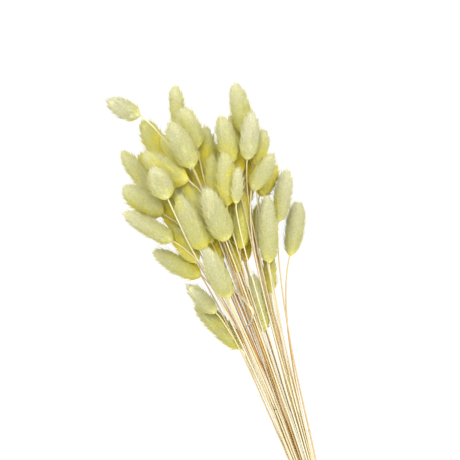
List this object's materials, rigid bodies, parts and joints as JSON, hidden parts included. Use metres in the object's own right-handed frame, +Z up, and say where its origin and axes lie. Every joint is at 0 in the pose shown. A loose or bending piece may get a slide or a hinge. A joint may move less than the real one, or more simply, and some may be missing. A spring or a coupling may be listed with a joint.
{
  "type": "dried bunny tail grass bunch",
  "caption": "Bunch of dried bunny tail grass: soft ovoid pale green seed heads on thin straw stems, gathered by twine and lying down.",
  "frame": {"origin": "on the surface that the bunch lies on, under the middle of the tie, at the middle of the tie's flat underside", "axes": "+Y along the bunch from the cut ends to the heads, +Z up, +X to the right as seen from above with the heads at the top"},
  "size_m": [0.156, 0.5175, 0.0816],
  "materials": {
    "seed_head": "soft dry hair, matt",
    "stem": "dry straw, faint sheen",
    "twine": "undyed plant fibre, matt"
  },
  "bodies": {
    "root": {"head_01": "seed_head", "head_02": "seed_head", "head_03": "seed_head", "head_04": "seed_head", "head_05": "seed_head", "head_06": "seed_head", "head_07": "seed_head", "head_08": "seed_head", "head_09": "seed_head", "head_10": "seed_head", "head_11": "seed_head", "head_12": "seed_head", "head_13": "seed_head", "head_14": "seed_head", "head_15": "seed_head", "head_16": "seed_head", "head_17": "seed_head", "head_18": "seed_head", "head_19": "seed_head", "head_20": "seed_head", "head_21": "seed_head", "head_22": "seed_head", "head_23": "seed_head", "head_24": "seed_head", "head_25": "seed_head", "head_26": "seed_head", "head_27": "seed_head", "head_28": "seed_head", "head_29": "seed_head", "head_30": "seed_head", "head_31": "seed_head", "head_32": "seed_head", "head_33": "seed_head", "head_34": "seed_head", "head_35": "seed_head", "head_36": "seed_head", "head_37": "seed_head", "head_38": "seed_head", "head_39": "seed_head", "head_40": "seed_head", "head_41": "seed_head", "head_42": "seed_head", "head_43": "seed_head", "head_44": "seed_head", "head_45": "seed_head", "head_46": "seed_head", "head_47": "seed_head", "head_48": "seed_head", "head_49": "seed_head", "head_50": "seed_head", "head_51": "seed_head", "head_52": "seed_head", "stems_row_1": "stem", "stems_row_2": "stem", "stems_row_3": "stem", "stems_row_4": "stem", "stems_row_5": "stem", "stems_row_6": "stem", "tie": "twine"}
  },
  "joints": []
}
